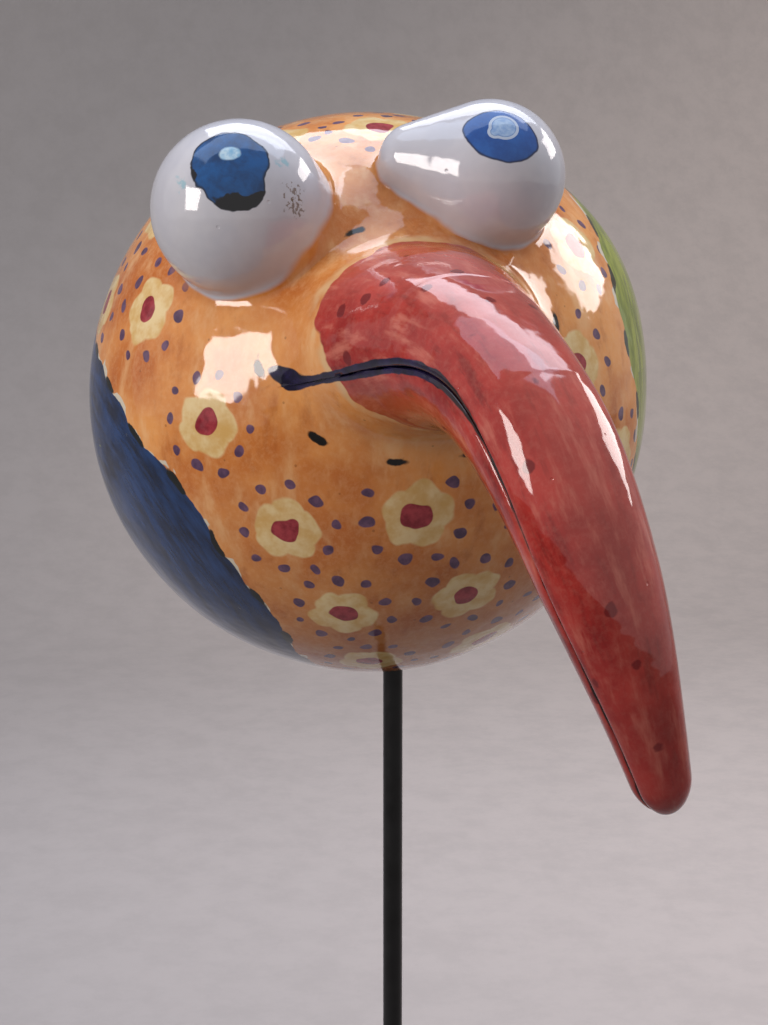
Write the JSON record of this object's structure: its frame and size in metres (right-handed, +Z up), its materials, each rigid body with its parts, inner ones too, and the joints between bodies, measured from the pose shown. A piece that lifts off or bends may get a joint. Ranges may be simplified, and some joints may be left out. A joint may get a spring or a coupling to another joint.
{
  "type": "ceramic plant stake",
  "caption": "Hollow glazed ceramic bird's head with bulging eyes and a long drooping beak, on a thin pointed steel rod for a pot or bed. The head turns on the rod and lifts off.",
  "frame": {"origin": "the rod's axis at the soil line, 150 mm above the rod's ground point", "axes": "+Z up along the rod towards the head, the beak and the face look along -Y, and +X is on the right of someone who looks at the face"},
  "size_m": [0.17, 0.2715, 0.6971],
  "materials": {
    "coated_steel": "satin",
    "rubber": "matte",
    "bare_clay": "matte",
    "painted_glaze": "gloss",
    "white_glaze": "gloss",
    "red_glaze": "gloss"
  },
  "bodies": {
    "rod": {"rod": "coated_steel"},
    "cap": {"rod_cap": "rubber"},
    "head": {"socket_tube": "bare_clay", "lower_bowl": "painted_glaze", "upper_bowl": "painted_glaze", "large_eye": "white_glaze", "small_eye": "white_glaze", "lower_beak": "red_glaze", "upper_beak": "red_glaze"}
  },
  "joints": [
    {"name": "head_turn", "type": "hinge", "parent": "rod", "child": "cap", "pos_m": [0, 0, 0.436], "axis": [0, 0, 1], "continuous": true},
    {"name": "head_lift", "type": "slide", "parent": "cap", "child": "head", "axis": [0, 0, 1], "range_m": [0, 0.09]}
  ]
}
